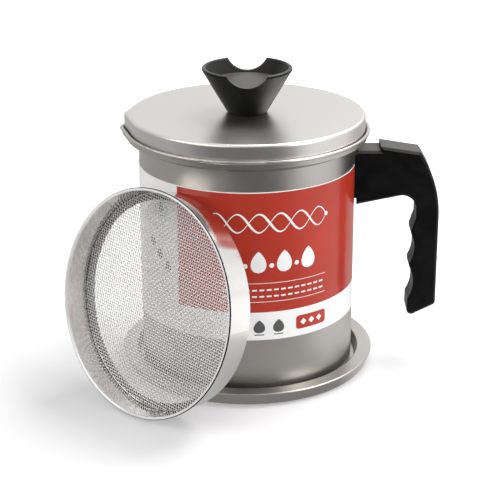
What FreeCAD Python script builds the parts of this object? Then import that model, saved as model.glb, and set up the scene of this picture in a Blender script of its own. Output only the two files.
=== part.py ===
import FreeCAD, Part
import math
import os

import Sketcher

# Oil pot with a drip tray, a lift-off lid and a shallow strainer that leans on the pot.
# Millimetres, +Z up. The origin is the middle of the tray's underside, on the pot's axis.
# The handle points along +X and the pouring lip along -X.

SIZES = (
    # name, value, what it is
    ("sheet_gap", 0.2, "play between pieces that rest on each other"),
    ("snug_gap", 0.05, "radial play of pieces fastened together"),
    ("tray_wall", 0.8, "tray sheet thickness"),
    ("tray_flange", 8.3, "width of the tray's flange"),
    ("tray_skirt_slope", 3.1, "how far the tray's skirt leans in below the rim"),
    ("tray_height", 7.0, "height of the tray's flange"),
    ("tray_recess_gap", 2.0, "room between pot and recess wall at the bottom"),
    ("tray_recess_slope", 1.6, "how far the recess wall leans out"),
    ("tray_edge_round", 0.7, "rounding of the tray's edges"),
    ("pot_r", 59.0, "outer radius of the pot"),
    ("pot_wall", 0.7, "pot sheet thickness"),
    ("pot_corner_r", 3.0, "rounding of the pot's bottom corner"),
    ("pot_neck_z", 126.0, "height of the straight wall above the pot's bottom"),
    ("flare_height", 4.0, "height of the flared seat"),
    ("collar_height", 3.6, "height of the collar above the seat"),
    ("rim_overhang", 2.0, "width of the rolled rim"),
    ("rim_height", 2.0, "height of the rolled rim"),
    ("rim_round", 0.94, "rounding of the rolled rim"),
    ("lip_half_angle", 16.0, "half the angle that the pouring lip spans"),
    ("lip_tip_r", 2.0, "tip rounding of the lid's pouring lip"),
    ("seat_reach", 5.2, "how far the lid's skirt stands out from the pot's wall"),
    ("lid_wall", 0.6, "lid sheet thickness"),
    ("lid_clearance", 0.5, "radial play of the lid in the collar"),
    ("lid_above_seat", 11.5, "height of the lid's top above the flared seat"),
    ("lid_seat_gap", 0.4, "height of the skirt above the flared seat"),
    ("lid_edge_r", 1.6, "rounding of the lid's top edge"),
    ("knob_base_r", 10.6, "radius of the knob at the lid"),
    ("knob_top_r", 25.2, "radius of the knob's rim"),
    ("knob_height", 24.9, "height of the knob"),
    ("knob_wall", 2.6, "width of the knob's rim"),
    ("knob_cup_depth", 7.6, "depth of the knob's hollow"),
    ("knob_rim_round", 1.05, "rounding of the knob's rim"),
    ("scallop_r", 12.1, "radius of the scallop across the knob"),
    ("scallop_depth", 6.8, "depth of the scallop below the rim"),
    ("insert_r", 3.5, "radius of the brass insert"),
    ("insert_length", 10.0, "length of the brass insert"),
    ("screw_r", 2.0, "shank radius of both screws"),
    ("screw_head_r", 3.6, "head radius of both screws"),
    ("screw_head_height", 2.2, "head height of both screws"),
    ("screw_slot_width", 1.0, "width of the cross recess"),
    ("screw_slot_depth", 1.2, "depth of the cross recess"),
    ("screw_hole_play", 0.25, "radial play of a plain screw hole"),
    ("knob_screw_bite", 8.0, "length of knob screw in the insert"),
    ("washer_r", 6.0, "outer radius of the knob washer"),
    ("washer_height", 0.8, "thickness of the knob washer"),
    ("label_drop", 11.1, "how far the label starts below the neck"),
    ("label_height", 82.6, "height of the label"),
    ("label_wall", 0.2, "label thickness"),
    ("label_open_angle", 20.0, "angle left open for the handle"),
    ("saddle_drop", 5.0, "how far the saddle starts below the handle's top"),
    ("saddle_height", 24.5, "height of the saddle"),
    ("saddle_wall", 1.2, "saddle thickness"),
    ("saddle_angle", 14.0, "angle that the saddle spans"),
    ("tongue_reach", 21.0, "how far the tongue stands out of the saddle"),
    ("tongue_width", 6.0, "width of the tongue"),
    ("tongue_height", 8.0, "height of the tongue"),
    ("tongue_above_saddle", 8.5, "height of the tongue above the saddle's lower edge"),
    ("tongue_play", 0.15, "play of the tongue in the handle"),
    ("handle_width", 17.6, "width of the handle"),
    ("handle_bevel", 1.3, "bevel along the handle's edges"),
    ("handle_top_drop", 2.0, "how far the handle's top lies below the pot's neck"),
    ("root_height", 33.5, "height of the handle's root at the pot"),
    ("root_rise", 7.4, "rise of the root's underside towards the grip"),
    ("neck_step", 2.4, "step up behind the handle's neck"),
    ("neck_reach", 13.5, "how far the neck stands out from the pot"),
    ("top_fall", 3.4, "fall of the handle's top towards the back"),
    ("shoulder_reach", 35.0, "distance from the pot to the back curve's start"),
    ("back_reach", 46.4, "distance from the pot to the grip's outer face"),
    ("back_curve_r", 65.0, "radius of the back curve"),
    ("back_curve_drop", 41.0, "how far the back curve reaches down"),
    ("heel_drop", 92.0, "from the handle's top to the outer lower corner"),
    ("toe_drop", 100.0, "from the handle's top to the inner lower corner"),
    ("inner_reach", 33.9, "distance from the pot to the grip under the root"),
    ("peak_reach", 31.6, "distance from the pot to the first finger peak"),
    ("peak_drop", 48.4, "from the handle's top to the first finger peak"),
    ("peak_slope", 7.4, "height of the slope down to the first finger peak"),
    ("toe_reach", 30.6, "distance from the pot to the grip's toe"),
    ("handle_inner_r", 8.0, "rounding of the inner corner"),
    ("handle_corner_r", 2.5, "rounding of the lower corners"),
    ("finger_r", 19.0, "radius of a finger groove"),
    ("finger_lead", 1.0, "how far a finger groove's cut starts before the grip"),
    ("finger_depth", 2.0, "depth of a finger groove"),
    ("finger_pitch", 20.4, "distance between finger grooves"),
    ("finger_drop", 79.0, "from the handle's top to the lowest finger groove"),
    ("finger_count", 2, "finger grooves below the first peak"),
    ("handle_screw_reach", 15.0, "distance from the pot to the handle screw"),
    ("handle_screw_sink", 7.0, "height of the screw's seat above the root's underside"),
    ("strainer_overhang", 1.3, "how far the strainer's rim reaches over the pot's wall"),
    ("strainer_play", 1.3, "radial play of the strainer's back in the pot"),
    ("strainer_wall", 0.6, "strainer sheet thickness"),
    ("strainer_depth", 19.0, "depth of the strainer"),
    ("strainer_bead", 1.6, "width and height of the strainer's bead"),
    ("strainer_bead_round", 0.7, "rounding of that bead"),
    ("strainer_edge_round", 0.25, "rounding of the strainer's back edge"),
    ("strainer_flange", 3.5, "how far the shelf that carries the mesh reaches in past the back"),
    ("mesh_depth", 13.5, "depth of the shelf below the rim"),
    ("mesh_thickness", 0.5, "thickness of the mesh"),
    ("mesh_edge_gap", 0.4, "room between the mesh and the wall"),
    ("mesh_pitch", 5.7, "distance between openings of the mesh"),
    ("mesh_wire", 1.0, "width left between openings"),
    ("strainer_heading", -132.1, "direction that the strainer faces, from +X"),
    ("strainer_tilt", 11.8, "how far the strainer leans back"),
    ("strainer_aside", 8.8, "how far the strainer stands to the side"),
    ("lean_gap", 0.5, "room between the strainer and what it leans on"),
    ("floor_gap", 0.1, "room between the strainer and the floor"),
)

doc = FreeCAD.newDocument("oil_pot")
sheet = doc.addObject("Spreadsheet::Sheet", "sizes")
for row, (alias, value, meaning) in enumerate(SIZES, start=1):
    sheet.set("A%d" % row, meaning)
    sheet.set("B%d" % row, str(value))
    sheet.setAlias("B%d" % row, alias)
doc.recompute()

NEAR = 0.01  # how far an edge or face may lie from the place it is looked for

# Lengths that several pieces share, as formulas of the sheet's cells.
DERIVED = {}
ALIASES = sorted((alias for alias, value, meaning in SIZES), key=len, reverse=True)


def derive(name, formula):
    """Keep a shared length in a cell of its own, so that every piece reads the same one."""
    row = len(SIZES) + len(DERIVED) + 1
    sheet.set("A%d" % row, name.replace("_", " "))
    sheet.set("B%d" % row, "=" + formula)
    sheet.setAlias("B%d" % row, name)
    DERIVED[name] = formula


derive("pot_bottom", "tray_wall + sheet_gap")
derive("recess_r", "pot_r + tray_recess_gap")
derive("tray_rim_r", "recess_r + tray_recess_slope + tray_flange")
derive("tray_foot_r", "tray_rim_r - tray_skirt_slope")
derive("lid_r", "pot_r + seat_reach")
derive("collar_inner_r", "lid_r + lid_clearance")
derive("collar_r", "collar_inner_r + pot_wall")
derive("rim_r", "collar_inner_r + rim_overhang")
derive("neck_z", "pot_bottom + pot_neck_z")
derive("seat_z", "neck_z + flare_height")
derive("rim_top", "seat_z + collar_height")
derive("lid_low", "seat_z + lid_seat_gap")
derive("lid_top", "seat_z + lid_above_seat")
derive("lid_under", "lid_top - lid_wall")
derive("knob_top", "lid_top + knob_height")
derive("knob_slope", "(knob_top_r - knob_base_r) / knob_height")
derive("cup_floor_r", "knob_top_r - knob_wall - knob_cup_depth * knob_slope")
derive("label_r", "pot_r + snug_gap")
derive("label_high", "neck_z - label_drop")
derive("label_low", "label_high - label_height")
derive("handle_top", "neck_z - handle_top_drop")
derive("handle_root_low", "handle_top - root_height")
derive("handle_root_high", "handle_top - neck_step")
derive("handle_back_z", "handle_top - back_curve_drop")
derive("handle_heel_z", "handle_top - heel_drop")
derive("handle_toe_z", "handle_top - toe_drop")
derive("handle_peak_z", "handle_top - peak_drop")
derive("finger_low", "handle_top - finger_drop")
derive("handle_neck_x", "pot_r + neck_reach")
derive("handle_shoulder_x", "pot_r + shoulder_reach")
derive("handle_back_x", "pot_r + back_reach")
derive("handle_inner_x", "pot_r + inner_reach")
derive("handle_peak_x", "pot_r + peak_reach")
derive("handle_toe_x", "pot_r + toe_reach")
derive("handle_screw_x", "pot_r + handle_screw_reach")
derive("saddle_high", "handle_top - saddle_drop")
derive("saddle_low", "saddle_high - saddle_height")
derive("saddle_r", "pot_r + snug_gap")
derive("saddle_outer_r", "saddle_r + saddle_wall")
derive("tongue_low", "saddle_low + tongue_above_saddle")
derive("handle_seat_r", "saddle_outer_r + snug_gap")
derive("screw_seat_z", "handle_root_low + handle_screw_sink")
derive("strainer_rim_r", "pot_r + strainer_overhang")
derive("strainer_back_r", "pot_r - pot_wall - strainer_play")
derive("strainer_mouth_r", "strainer_rim_r - strainer_bead")
derive("wall_slope", "(strainer_mouth_r - strainer_back_r + strainer_wall) / "
       "(strainer_depth - strainer_bead)")
derive("mesh_low", "-mesh_depth")
derive("shelf_r", "strainer_back_r - strainer_wall + (strainer_depth - mesh_depth) * wall_slope")
derive("mesh_r", "shelf_r - mesh_edge_gap")
derive("mesh_open_r", "strainer_back_r - strainer_flange")
doc.recompute()


def amount(formula):
    """The number that a formula of the sheet's cells gives."""
    value = sheet.evalExpression(formula)
    return float(getattr(value, "Value", value))


def bound(formula):
    """The same formula as another object writes it."""
    text = ""
    word = ""
    names = set(ALIASES) | set(DERIVED)
    for mark in formula + " ":
        if mark.isalnum() or mark == "_":
            word += mark
            continue
        text += "sizes." + word if word in names else word
        word = ""
        text += mark
    return text.strip()


def bind(item, **formulas):
    """Tie properties of an object to formulas; two underscores stand for a dot."""
    for name, formula in formulas.items():
        item.setExpression(name.replace("__", "."), bound(formula))


def new_body(name):
    body = doc.addObject("PartDesign::Body", name)
    body.Label = name
    return body


def origin_plane(body, role):
    return [item for item in body.Origin.OriginFeatures if item.Role == role][0]


def new_sketch(body, name, role, offset=None):
    """A sketch on one of the body's own planes, lifted off it by a formula."""
    sketch = body.newObject("Sketcher::SketchObject", name)
    sketch.AttachmentSupport = [(origin_plane(body, role), "")]
    sketch.MapMode = "FlatFace"
    if offset:
        bind(sketch, AttachmentOffset__Base__z=offset)
    return sketch


def hold(sketch, constraint, formula=None):
    index = sketch.addConstraint(constraint)
    if formula:
        sketch.setExpression("Constraints[%d]" % index, bound(formula))


def pin(sketch, edge, end, across, up):
    """Fix one end of an edge at a pair of formulas."""
    for kind, axis, formula in (("DistanceX", -2, across), ("DistanceY", -1, up)):
        if formula == "0":
            hold(sketch, Sketcher.Constraint("PointOnObject", edge, end, axis))
        else:
            place = amount(formula)
            hold(sketch, Sketcher.Constraint(kind, -1, 1, edge, end, place), formula)


def arc_between(start, end, radius):
    """The arc of less than a half circle from start to end that turns left."""
    chord = end - start
    middle = (start + end) / 2
    side = FreeCAD.Vector(-chord.y, chord.x, 0).normalize()
    centre = middle + side * math.sqrt(radius ** 2 - (chord.Length / 2) ** 2)
    first = math.atan2(start.y - centre.y, start.x - centre.x)
    last = math.atan2(end.y - centre.y, end.x - centre.x)
    circle = Part.Circle(centre, FreeCAD.Vector(0, 0, 1), radius)
    return Part.ArcOfCircle(circle, first, last)


def add_loop(sketch, corners, arcs=None):
    """A closed loop; corners are pairs of formulas, arcs gives some edges a radius."""
    arcs = arcs or {}
    spots = [FreeCAD.Vector(amount(across), amount(up), 0) for across, up in corners]
    first = sketch.GeometryCount
    for index, start in enumerate(spots):
        end = spots[(index + 1) % len(spots)]
        if index in arcs:
            sketch.addGeometry(arc_between(start, end, amount(arcs[index])), False)
        else:
            sketch.addGeometry(Part.LineSegment(start, end), False)
    for index, (across, up) in enumerate(corners):
        before = first + (index - 1) % len(corners)
        edge = first + index
        hold(sketch, Sketcher.Constraint("Coincident", before, 2, edge, 1))
        pin(sketch, edge, 1, across, up)
    for index, radius in arcs.items():
        hold(sketch, Sketcher.Constraint("Radius", first + index, amount(radius)), radius)


def add_circle(sketch, radius, across="0", up="0"):
    centre = FreeCAD.Vector(amount(across), amount(up), 0)
    upright = FreeCAD.Vector(0, 0, 1)
    edge = sketch.addGeometry(Part.Circle(centre, upright, amount(radius)), False)
    hold(sketch, Sketcher.Constraint("Radius", edge, amount(radius)), radius)
    if across == "0" and up == "0":
        hold(sketch, Sketcher.Constraint("Coincident", edge, 3, -1, 1))
    else:
        pin(sketch, edge, 3, across, up)


def add_lipped_ring(sketch, radius):
    """A circle with a pouring lip at -X: two tangent flanks and a rounded tip.

    The tip's centre is the same for every radius, so rings are true offsets of the lid's.
    """
    tip_formula = "lip_tip_r + %s - lid_r" % radius
    reach_formula = "(lid_r - lip_tip_r) / cos(lip_half_angle)"
    size = amount(radius)
    tip_size = amount(tip_formula)
    reach = amount(reach_formula)
    turn = math.pi - math.radians(amount("lip_half_angle"))
    upright = FreeCAD.Vector(0, 0, 1)
    circle = Part.Circle(FreeCAD.Vector(0, 0, 0), upright, size)
    tip = Part.Circle(FreeCAD.Vector(-reach, 0, 0), upright, tip_size)

    def on(centre_x, size_there, angle):
        return FreeCAD.Vector(
            centre_x + size_there * math.cos(angle), size_there * math.sin(angle), 0)

    flank_out = Part.LineSegment(on(0, size, turn), on(-reach, tip_size, turn))
    flank_back = Part.LineSegment(on(-reach, tip_size, -turn), on(0, size, -turn))
    ring = sketch.addGeometry(Part.ArcOfCircle(circle, -turn, turn), False)
    out = sketch.addGeometry(flank_out, False)
    nose = sketch.addGeometry(Part.ArcOfCircle(tip, turn, 2 * math.pi - turn), False)
    back = sketch.addGeometry(flank_back, False)
    hold(sketch, Sketcher.Constraint("Coincident", ring, 3, -1, 1))
    hold(sketch, Sketcher.Constraint("PointOnObject", nose, 3, -1))
    hold(sketch, Sketcher.Constraint("Tangent", ring, 2, out, 1))
    hold(sketch, Sketcher.Constraint("Tangent", out, 2, nose, 1))
    hold(sketch, Sketcher.Constraint("Tangent", nose, 2, back, 1))
    hold(sketch, Sketcher.Constraint("Tangent", back, 2, ring, 1))
    hold(sketch, Sketcher.Constraint("Radius", ring, size), radius)
    hold(sketch, Sketcher.Constraint("Radius", nose, tip_size), tip_formula)
    hold(sketch, Sketcher.Constraint("DistanceX", nose, 3, -1, 1, reach), reach_formula)


def turn_round(body, name, corners, kind="Revolution", arcs=None, angle=None):
    """Turn a closed section about the body's Z axis, as a solid or as a cut."""
    sketch = new_sketch(body, name + "_section", "XZ_Plane")
    add_loop(sketch, corners, arcs)
    feature = body.newObject("PartDesign::" + kind, name)
    feature.Profile = sketch
    feature.ReferenceAxis = (sketch, ["V_Axis"])
    if angle:
        feature.Midplane = True
        bind(feature, Angle=angle)
    else:
        feature.Angle = 360
    doc.recompute()
    return feature


def raise_ring(body, name, radius, low, height):
    """A solid plate with the lipped outline, from low upwards."""
    sketch = new_sketch(body, name + "_outline", "XY_Plane", low)
    add_lipped_ring(sketch, radius)
    feature = body.newObject("PartDesign::Pad", name)
    feature.Profile = sketch
    bind(feature, Length=height)
    doc.recompute()
    return feature


def sink(body, name, sketch, depth, upward=False):
    """A pocket down from its sketch, or up from it; it has to take material away."""
    before = body.Shape.Volume
    feature = body.newObject("PartDesign::Pocket", name)
    feature.Profile = sketch
    feature.Reversed = upward
    bind(feature, Length=depth)
    doc.recompute()
    if body.Shape.Volume >= before:
        raise RuntimeError(name + " takes nothing away")
    return feature


def edges_at(body, height, radius=None):
    """Names of the level edges at a height, and at a radius if one is given."""
    names = []
    for index, edge in enumerate(body.Shape.Edges, start=1):
        box = edge.BoundBox
        if abs(box.ZMin - height) > NEAR or abs(box.ZMax - height) > NEAR:
            continue
        point = edge.valueAt(edge.FirstParameter)
        if radius is not None and abs(math.hypot(point.x, point.y) - radius) > NEAR:
            continue
        names.append("Edge%d" % index)
    if not names:
        raise RuntimeError("no edge of %s at height %g" % (body.Name, height))
    return names


def outer_edges_at(body, height):
    """Names of the outer edges of the level faces at a height."""
    names = []
    for face in body.Shape.Faces:
        box = face.BoundBox
        if abs(box.ZMin - height) > NEAR or abs(box.ZMax - height) > NEAR:
            continue
        for index, edge in enumerate(body.Shape.Edges, start=1):
            if any(edge.isSame(side) for side in face.OuterWire.Edges):
                names.append("Edge%d" % index)
    return names


def soften(body, name, edges, size, kind="Fillet"):
    """Round or bevel the named edges of the body's last feature."""
    base = body.Tip
    feature = body.newObject("PartDesign::" + kind, name)
    feature.Base = (base, edges)
    bind(feature, **{"Radius" if kind == "Fillet" else "Size": size})
    doc.recompute()
    return feature


def edges_across(body, across, up):
    """Names of the edges along Y at a place in the XZ plane."""
    names = []
    for index, edge in enumerate(body.Shape.Edges, start=1):
        middle = edge.BoundBox.Center
        if edge.BoundBox.YLength < NEAR or edge.BoundBox.XLength > NEAR:
            continue
        if abs(middle.x - amount(across)) < NEAR and abs(middle.z - amount(up)) < NEAR:
            names.append("Edge%d" % index)
    if not names:
        raise RuntimeError("no edge of %s along Y there" % body.Name)
    return names


def shift(feature, **places):
    bind(feature, **{"Placement__Base__" + axis: formula for axis, formula in places.items()})


def rod(body, name, radius, height, cut=False, **places):
    kind = "PartDesign::SubtractiveCylinder" if cut else "PartDesign::AdditiveCylinder"
    feature = body.newObject(kind, name)
    bind(feature, Radius=radius, Height=height)
    shift(feature, **places)
    doc.recompute()
    return feature


def block(body, name, length, width, height, cut=False, **places):
    kind = "PartDesign::SubtractiveBox" if cut else "PartDesign::AdditiveBox"
    feature = body.newObject(kind, name)
    bind(feature, Length=length, Width=width, Height=height)
    shift(feature, **places)
    doc.recompute()
    return feature


def make_tray():
    body = new_body("drip_tray")
    turn_round(body, "tray", (
        ("0", "0"),
        ("recess_r + tray_wall", "0"),
        ("recess_r + tray_recess_slope + tray_wall", "tray_height - tray_wall"),
        ("tray_rim_r - tray_wall", "tray_height - tray_wall"),
        ("tray_foot_r - tray_wall", "0"),
        ("tray_foot_r", "0"),
        ("tray_rim_r", "tray_height"),
        ("recess_r + tray_recess_slope", "tray_height"),
        ("recess_r", "tray_wall"),
        ("0", "tray_wall"),
    ))
    rim = edges_at(body, amount("tray_height"), amount("tray_rim_r"))
    brink = edges_at(body, amount("tray_height"), amount("recess_r + tray_recess_slope"))
    soften(body, "tray_edges", rim + brink, "tray_edge_round")
    return body


def make_pot():
    body = new_body("pot_body")
    turn_round(body, "outside", (
        ("0", "pot_bottom"),
        ("pot_r", "pot_bottom"),
        ("pot_r", "neck_z"),
        ("collar_r", "seat_z"),
        ("0", "seat_z"),
    ))
    raise_ring(body, "collar", "collar_r", "seat_z - pot_wall", "pot_wall + collar_height / 2")
    raise_ring(body, "rim", "rim_r", "rim_top - rim_height", "rim_height")
    turn_round(body, "inside", (
        ("0", "pot_bottom + pot_wall"),
        ("pot_r - pot_wall", "pot_bottom + pot_wall"),
        ("pot_r - pot_wall", "neck_z"),
        ("collar_inner_r", "seat_z"),
        ("0", "seat_z"),
    ), "Groove")
    mouth = new_sketch(body, "mouth_outline", "XY_Plane", "rim_top")
    add_lipped_ring(mouth, "collar_inner_r")
    sink(body, "mouth", mouth, "collar_height")
    rolled = edges_at(body, amount("rim_top"))
    rolled += outer_edges_at(body, amount("rim_top - rim_height"))
    soften(body, "rolled_rim", rolled, "rim_round")
    corner = edges_at(body, amount("pot_bottom"), amount("pot_r"))
    soften(body, "bottom_corner", corner, "pot_corner_r")
    inner = edges_at(body, amount("pot_bottom + pot_wall"), amount("pot_r - pot_wall"))
    soften(body, "inner_corner", inner, "pot_corner_r - pot_wall")
    return body


def make_label():
    body = new_body("label_sleeve")
    feature = turn_round(body, "wrap", (
        ("label_r", "label_low"),
        ("label_r + label_wall", "label_low"),
        ("label_r + label_wall", "label_high"),
        ("label_r", "label_high"),
    ), angle="360 - label_open_angle")
    feature.Midplane = False
    bind(body, Placement__Rotation__Angle="label_open_angle / 2")
    return body


def make_lid():
    body = new_body("lid_cover")
    raise_ring(body, "cap", "lid_r", "lid_low", "lid_top - lid_low")
    hollow = new_sketch(body, "hollow_outline", "XY_Plane", "lid_low")
    add_lipped_ring(hollow, "lid_r - lid_wall")
    sink(body, "hollow", hollow, "lid_under - lid_low", upward=True)
    soften(body, "top_edge", edges_at(body, amount("lid_top")), "lid_edge_r")
    soften(body, "inner_edge", edges_at(body, amount("lid_under")), "lid_edge_r - lid_wall")
    rod(body, "screw_hole", "screw_r + screw_hole_play", "lid_wall * 3", cut=True,
        z="lid_under - lid_wall")
    return body


def make_knob():
    body = new_body("lid_knob")
    turn_round(body, "cone", (
        ("0", "lid_top"),
        ("knob_base_r", "lid_top"),
        ("knob_top_r", "knob_top"),
        ("knob_top_r - knob_wall", "knob_top"),
        ("cup_floor_r", "knob_top - knob_cup_depth"),
        ("0", "knob_top - knob_cup_depth"),
    ))
    soften(body, "rim_round", edges_at(body, amount("knob_top")), "knob_rim_round")
    scallop = new_sketch(body, "scallop_outline", "XZ_Plane")
    add_circle(scallop, "scallop_r", "0", "knob_top + scallop_r - scallop_depth")
    cut = sink(body, "scallop", scallop, "knob_top_r * 2")
    cut.Midplane = True
    rod(body, "insert_hole", "insert_r + snug_gap", "insert_length + snug_gap", cut=True,
        z="lid_top")
    return body


def make_insert():
    body = new_body("knob_insert")
    rod(body, "sleeve", "insert_r", "insert_length", z="lid_top")
    rod(body, "thread_bore", "screw_r + snug_gap", "insert_length", cut=True, z="lid_top")
    return body


def make_washer():
    body = new_body("knob_washer")
    rod(body, "disc", "washer_r", "washer_height", z="lid_under - washer_height")
    rod(body, "hole", "screw_r + screw_hole_play", "washer_height", cut=True,
        z="lid_under - washer_height")
    return body


def make_screw(name, head_low, shank, across="0"):
    """A pan-head screw with its head down and a cross recess in the head."""
    body = new_body(name)
    rod(body, "head", "screw_head_r", "screw_head_height", x=across, z=head_low)
    soften(body, "head_round", edges_at(body, amount(head_low)), "screw_head_height / 3")
    rod(body, "shank", "screw_r", "screw_head_height + " + shank, x=across, z=head_low)
    for slot, length, width in (
            ("slot_a", "screw_head_r", "screw_slot_width"),
            ("slot_b", "screw_slot_width", "screw_head_r")):
        block(body, slot, length, width, "screw_slot_depth", cut=True,
              x="%s - %s / 2" % (across, length), y="-%s / 2" % width, z=head_low)
    return body


def make_bracket():
    body = new_body("handle_bracket")
    turn_round(body, "saddle", (
        ("saddle_r", "saddle_low"),
        ("saddle_outer_r", "saddle_low"),
        ("saddle_outer_r", "saddle_high"),
        ("saddle_r", "saddle_high"),
    ), angle="saddle_angle")
    block(body, "tongue", "tongue_reach + saddle_wall / 2", "tongue_width", "tongue_height",
          x="saddle_r + saddle_wall / 2", y="-tongue_width / 2", z="tongue_low")
    rod(body, "thread_bore", "screw_r + snug_gap", "tongue_height", cut=True,
        x="handle_screw_x", z="tongue_low")
    return body


def make_handle():
    body = new_body("handle_grip")
    side = new_sketch(body, "side_outline", "XZ_Plane")
    root_x = "pot_r - saddle_wall"
    add_loop(side, (
        (root_x, "handle_root_low"),
        ("handle_inner_x", "handle_root_low + root_rise"),
        ("handle_inner_x", "handle_peak_z + peak_slope"),
        ("handle_peak_x", "handle_peak_z"),
        ("handle_toe_x", "handle_toe_z"),
        ("handle_back_x", "handle_heel_z"),
        ("handle_back_x", "handle_back_z"),
        ("handle_shoulder_x", "handle_top - top_fall"),
        ("handle_neck_x", "handle_top"),
        ("handle_neck_x", "handle_root_high"),
        (root_x, "handle_root_high"),
    ), {6: "back_curve_r"})
    slab = body.newObject("PartDesign::Pad", "slab")
    slab.Profile = side
    slab.Midplane = True
    bind(slab, Length="handle_width")
    doc.recompute()

    corner = edges_across(body, "handle_inner_x", "handle_root_low + root_rise")
    soften(body, "inner_corner", corner, "handle_inner_r")
    lower = edges_across(body, "handle_toe_x", "handle_toe_z")
    lower += edges_across(body, "handle_back_x", "handle_heel_z")
    soften(body, "lower_corners", lower, "handle_corner_r")

    groove = new_sketch(body, "finger_outline", "XZ_Plane")
    sagitta = "(finger_depth + finger_lead)"
    half_chord = "sqrt(%s * (2 * finger_r - %s))" % (sagitta, sagitta)
    mouth_x = "handle_peak_x - finger_lead"
    add_loop(groove, (
        (mouth_x, "finger_low - " + half_chord),
        (mouth_x, "finger_low + " + half_chord),
    ), {0: "finger_r"})
    finger = sink(body, "finger", groove, "handle_width * 2")
    finger.Midplane = True
    fingers = body.newObject("PartDesign::LinearPattern", "fingers")
    fingers.Originals = [finger]
    fingers.Direction = (groove, ["V_Axis"])
    bind(fingers, Length="finger_pitch * (finger_count - 1)", Occurrences="finger_count")
    body.Tip = fingers
    doc.recompute()

    sides = [
        "Face%d" % index for index, face in enumerate(body.Shape.Faces, start=1)
        if abs(abs(face.CenterOfMass.y) - amount("handle_width / 2")) < NEAR]
    soften(body, "bevel", sides, "handle_bevel", "Chamfer")
    turn_round(body, "root_seat", (
        ("0", "handle_toe_z"),
        ("handle_seat_r", "handle_toe_z"),
        ("handle_seat_r", "handle_top"),
        ("0", "handle_top"),
    ), "Groove")
    play = "tongue_play"
    block(body, "socket", "tongue_reach + saddle_wall + " + play, "tongue_width + 2 * " + play,
          "tongue_height + 2 * " + play, cut=True, x="saddle_r",
          y="-tongue_width / 2 - " + play, z="tongue_low - " + play)
    rod(body, "screw_pit", "screw_head_r + screw_hole_play", "handle_screw_sink * 2", cut=True,
        x="handle_screw_x", z="screw_seat_z - handle_screw_sink * 2")
    rod(body, "screw_way", "screw_r + screw_hole_play", "tongue_low - screw_seat_z", cut=True,
        x="handle_screw_x", z="screw_seat_z")
    return body


def make_strainer_frame():
    """The strainer's ring, opening towards the body's +Z, with the rim's top at zero."""
    body = new_body("strainer_frame")
    turn_round(body, "ring", (
        ("strainer_mouth_r", "0"),
        ("strainer_rim_r", "0"),
        ("strainer_rim_r", "-strainer_bead"),
        ("strainer_mouth_r + strainer_wall", "-strainer_bead"),
        ("strainer_back_r", "-strainer_depth"),
        ("strainer_back_r - strainer_wall", "-strainer_depth"),
        ("shelf_r - strainer_wall * wall_slope", "mesh_low - strainer_wall"),
        ("mesh_open_r", "mesh_low - strainer_wall"),
        ("mesh_open_r", "mesh_low"),
        ("shelf_r", "mesh_low"),
        ("strainer_mouth_r", "-strainer_bead"),
    ))
    bead = edges_at(body, 0.0) + edges_at(body, amount("-strainer_bead"), amount("strainer_rim_r"))
    soften(body, "bead_round", bead, "strainer_bead_round")
    back = edges_at(body, amount("-strainer_depth"), amount("strainer_back_r"))
    soften(body, "back_edge", back, "strainer_edge_round")
    return body


def make_mesh():
    """The woven mesh as one flat face with square openings, as thick as the weave."""
    pitch = amount("mesh_pitch")
    half = (pitch - amount("mesh_wire")) / 2
    reach = amount("mesh_open_r") - amount("mesh_wire")
    level = amount("mesh_low")
    outer = Part.Circle(FreeCAD.Vector(0, 0, level), FreeCAD.Vector(0, 0, 1), amount("mesh_r"))
    wires = [Part.Wire([outer.toShape()])]
    steps = int(reach // pitch) + 1
    for column in range(-steps, steps + 1):
        for line in range(-steps, steps + 1):
            across = column * pitch
            along = line * pitch
            if math.hypot(abs(across) + half, abs(along) + half) > reach:
                continue
            corners = [
                FreeCAD.Vector(across - half, along - half, level),
                FreeCAD.Vector(across + half, along - half, level),
                FreeCAD.Vector(across + half, along + half, level),
                FreeCAD.Vector(across - half, along + half, level)]
            wires.append(Part.makePolygon(corners + corners[:1]))
    print("mesh openings:", len(wires) - 1)
    net = doc.addObject("Part::Feature", "strainer_mesh")
    net.Label = "strainer_mesh"
    face = Part.makeFace(wires, "Part::FaceMakerBullseye")
    net.Shape = face.extrude(FreeCAD.Vector(0, 0, amount("mesh_thickness")))
    return net


def strainer_place():
    """Stand the strainer on its edge so that its back edge leans on the labelled pot."""
    heading = math.radians(amount("strainer_heading"))
    tilt = math.radians(amount("strainer_tilt"))
    depth = amount("strainer_depth")
    back = amount("strainer_back_r")
    aside = amount("strainer_aside")
    wall = amount("label_r + label_wall + lean_gap")
    back_out = wall + back * math.sin(tilt) * math.sqrt(1 - (aside / back) ** 2)
    out = back_out + depth * math.cos(tilt)
    rim_drop = amount("strainer_rim_r") * math.cos(tilt)
    back_drop = back * math.cos(tilt) + depth * math.sin(tilt)
    height = max(rim_drop, back_drop) + amount("floor_gap")
    facing = FreeCAD.Vector(math.cos(heading), math.sin(heading), 0)
    sideways = FreeCAD.Vector(-math.sin(heading), math.cos(heading), 0)
    normal = facing * math.cos(tilt) + FreeCAD.Vector(0, 0, math.sin(tilt))
    centre = facing * out + sideways * aside + FreeCAD.Vector(0, 0, height)
    upward = normal.cross(sideways)
    turn = FreeCAD.Rotation(sideways, upward, normal, "ZXY")
    return FreeCAD.Placement(centre, turn)


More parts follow.
